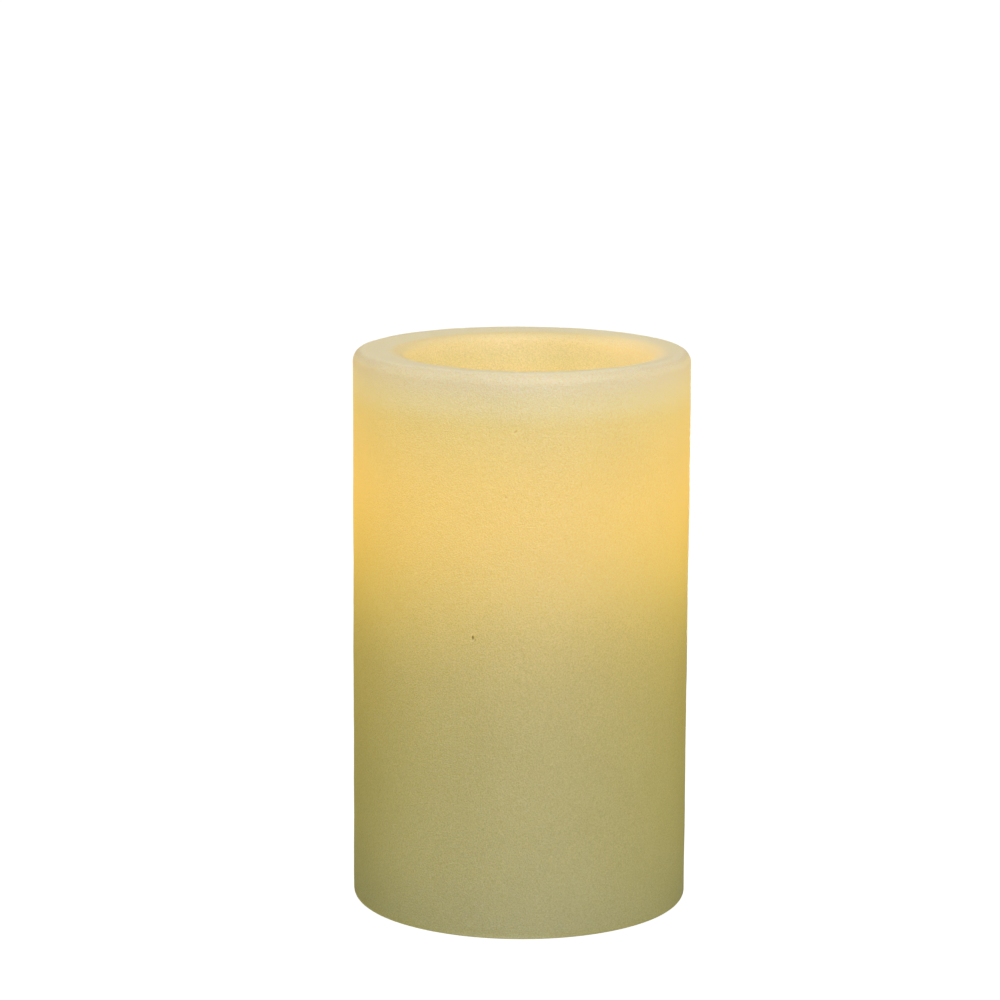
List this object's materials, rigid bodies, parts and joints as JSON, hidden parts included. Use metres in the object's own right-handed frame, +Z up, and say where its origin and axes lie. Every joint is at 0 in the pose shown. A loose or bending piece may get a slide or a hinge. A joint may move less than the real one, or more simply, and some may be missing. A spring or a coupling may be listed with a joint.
{
  "type": "flameless led candle",
  "caption": "Real-wax pillar candle lit from inside by a flickering LED, with a screwed-in battery module, hinged battery door and slide switch underneath.",
  "frame": {"origin": "centre of the pillar's foot, on the plane it stands on", "axes": "+Z up the pillar's axis to the rim, -Y towards the switch, +X across the underside along the switch's travel"},
  "size_m": [0.0762, 0.0762, 0.127],
  "materials": {
    "ivory_wax": "satin wax, lit from within",
    "hot_melt": "hot-melt glue",
    "ivory_abs": "fine spark texture",
    "black_abs": "fine texture",
    "zinc_steel": "zinc plated",
    "nickel_strip": "nickel-plated spring strip",
    "board_green": "solder mask",
    "flame_pe": "translucent moulding, lit from within",
    "led_epoxy": "clear amber epoxy, lit",
    "cell_sleeve": "shrink sleeve",
    "chip_epoxy": "moulded",
    "cap_sleeve": "shrink sleeve",
    "resistor_body": "lacquered",
    "led_wire_red": "insulation",
    "led_wire_black": "insulation",
    "battery_wire_red": "insulation",
    "battery_wire_black": "insulation"
  },
  "bodies": {
    "candle": {"wax_shell": "ivory_wax", "adhesive_ring": "hot_melt", "battery_housing": "ivory_abs", "top_cap": "ivory_abs", "flame_bulb": "flame_pe", "led_bulb": "led_epoxy", "led_lead_anode": "zinc_steel", "led_lead_cathode": "zinc_steel", "base_plate": "ivory_abs", "cell_a": "cell_sleeve", "cell_b": "cell_sleeve", "positive_contact": "nickel_strip", "negative_contact_plate": "nickel_strip", "negative_spring": "zinc_steel", "circuit_board": "board_green", "timer_chip": "chip_epoxy", "timer_crystal": "zinc_steel", "capacitor": "cap_sleeve", "resistor": "resistor_body", "switch_frame": "zinc_steel", "base_screw_1": "zinc_steel", "base_screw_2": "zinc_steel", "base_screw_3": "zinc_steel", "board_screw_1": "zinc_steel", "board_screw_2": "zinc_steel", "led_wire_red": "led_wire_red", "led_wire_black": "led_wire_black", "battery_wire_red": "battery_wire_red", "battery_wire_black": "battery_wire_black"},
    "door": {"battery_door": "ivory_abs", "door_contact_plate": "nickel_strip", "door_contact_spring": "zinc_steel"},
    "latch": {"door_latch": "ivory_abs"},
    "switch": {"switch_knob": "black_abs", "switch_slider": "black_abs"}
  },
  "joints": [
    {"name": "door_hinge", "type": "hinge", "parent": "candle", "child": "door", "pos_m": [0, 0.0172, 0.0022], "axis": [1, 0, 0], "range_deg": [0, 95]},
    {"name": "latch_flex", "type": "hinge", "parent": "door", "child": "latch", "pos_m": [0, -0.0056, 0.0058], "axis": [1, 0, 0], "range_deg": [0, 5], "stiffness_Nm_per_rad": 0.02},
    {"name": "switch_slide", "type": "slide", "parent": "candle", "child": "switch", "axis": [1, 0, 0], "range_m": [0, 0.004]}
  ]
}
